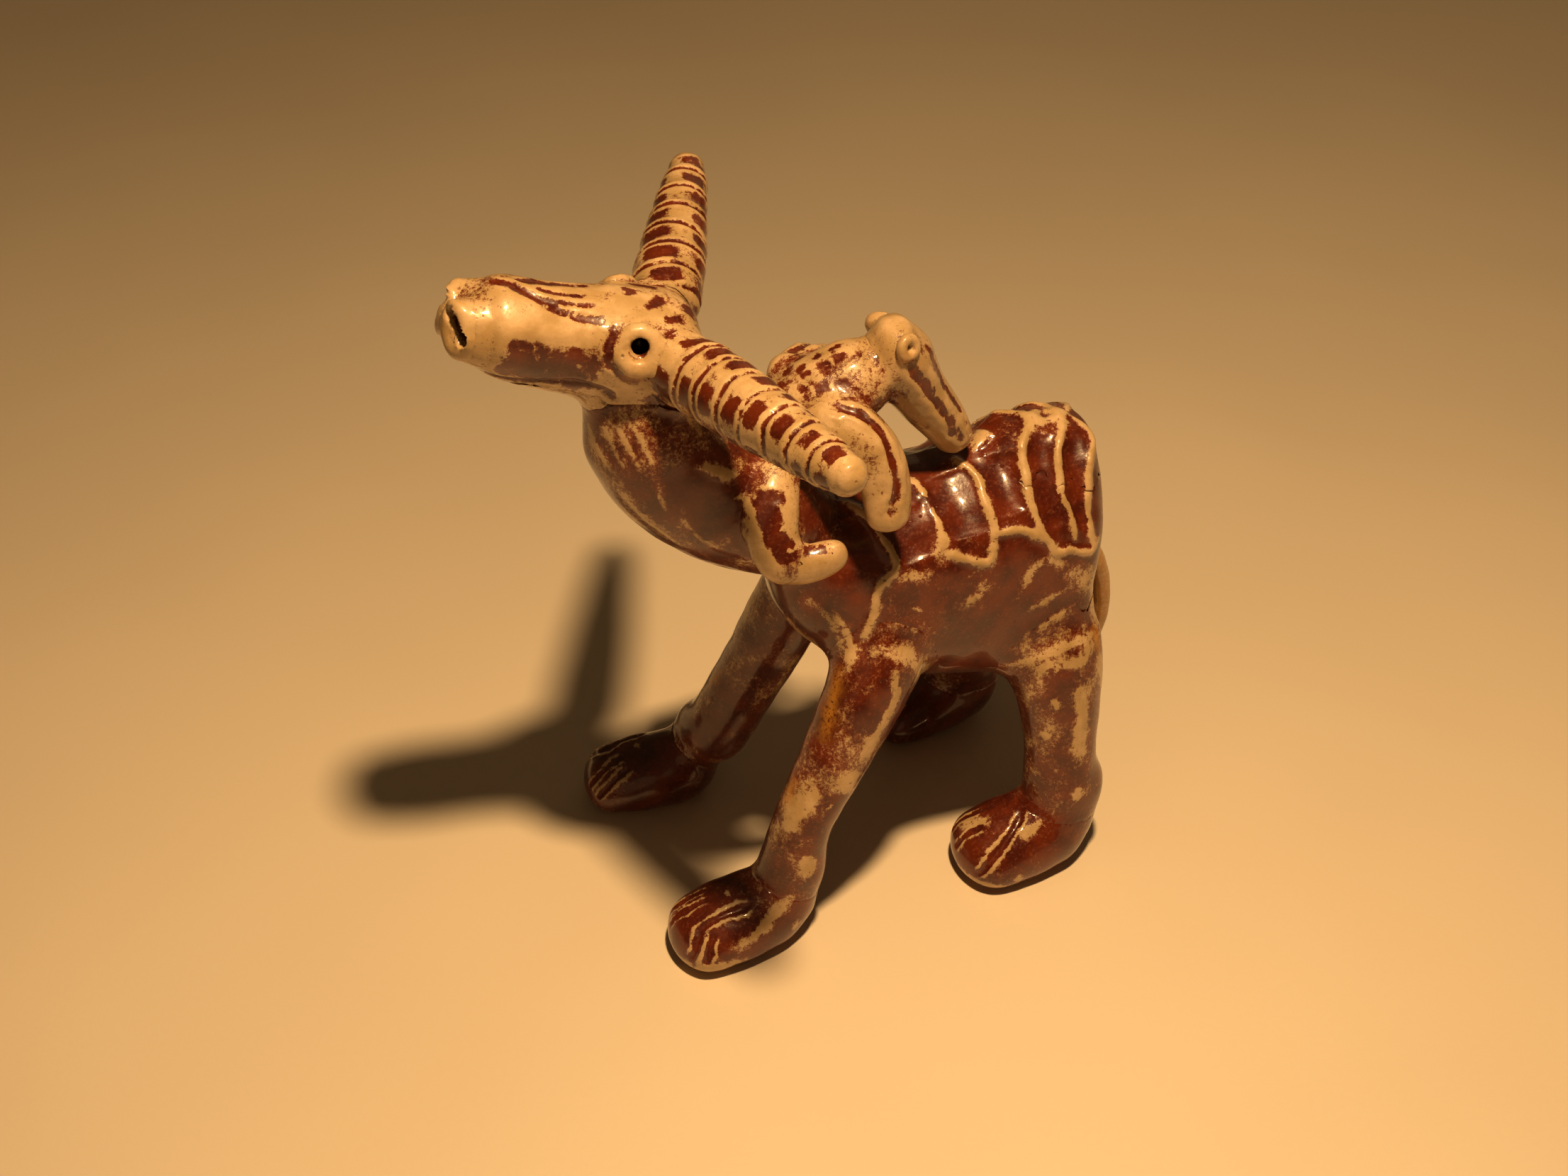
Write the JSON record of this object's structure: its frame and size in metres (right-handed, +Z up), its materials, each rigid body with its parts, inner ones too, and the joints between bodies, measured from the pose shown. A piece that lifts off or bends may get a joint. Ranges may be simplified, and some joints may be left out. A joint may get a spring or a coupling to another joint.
{
  "type": "alebrije figure",
  "caption": "Hand-built glazed clay figure of a horned four-legged beast with a raised snout, a fluted hump and a small rider facing backwards on its shoulders.",
  "frame": {"origin": "on the floor, under the middle of the bounding box", "axes": "+Z up, -X towards the beast's nose, +X towards its tail, -Y to its left side and +Y to its right side"},
  "size_m": [0.117, 0.0988, 0.1284],
  "materials": {
    "oxblood_glaze": "glossy oxblood-red glaze that breaks to cream along every ridge",
    "mottled_glaze": "glossy glaze mottled red-brown and cream in about equal parts",
    "cream_glaze": "glossy cream glaze with red-brown in the grooves"
  },
  "bodies": {
    "root": {"torso": "oxblood_glaze", "hump": "oxblood_glaze", "left_fore_paw": "oxblood_glaze", "right_fore_paw": "oxblood_glaze", "left_hind_paw": "oxblood_glaze", "right_hind_paw": "oxblood_glaze", "left_fore_leg": "mottled_glaze", "right_fore_leg": "mottled_glaze", "left_hind_leg": "mottled_glaze", "right_hind_leg": "mottled_glaze", "tail": "mottled_glaze", "neck": "mottled_glaze", "head": "cream_glaze", "lower_jaw": "cream_glaze", "left_nostril": "cream_glaze", "right_nostril": "cream_glaze", "left_eye": "cream_glaze", "right_eye": "cream_glaze", "left_horn": "mottled_glaze", "right_horn": "mottled_glaze", "rider_body": "mottled_glaze", "rider_head": "cream_glaze", "rider_left_eye": "cream_glaze", "rider_right_eye": "cream_glaze", "rider_left_arm": "mottled_glaze", "rider_right_arm": "mottled_glaze", "rider_left_leg": "mottled_glaze", "rider_right_leg": "mottled_glaze", "rider_left_foot": "cream_glaze", "rider_right_foot": "cream_glaze"}
  },
  "joints": []
}
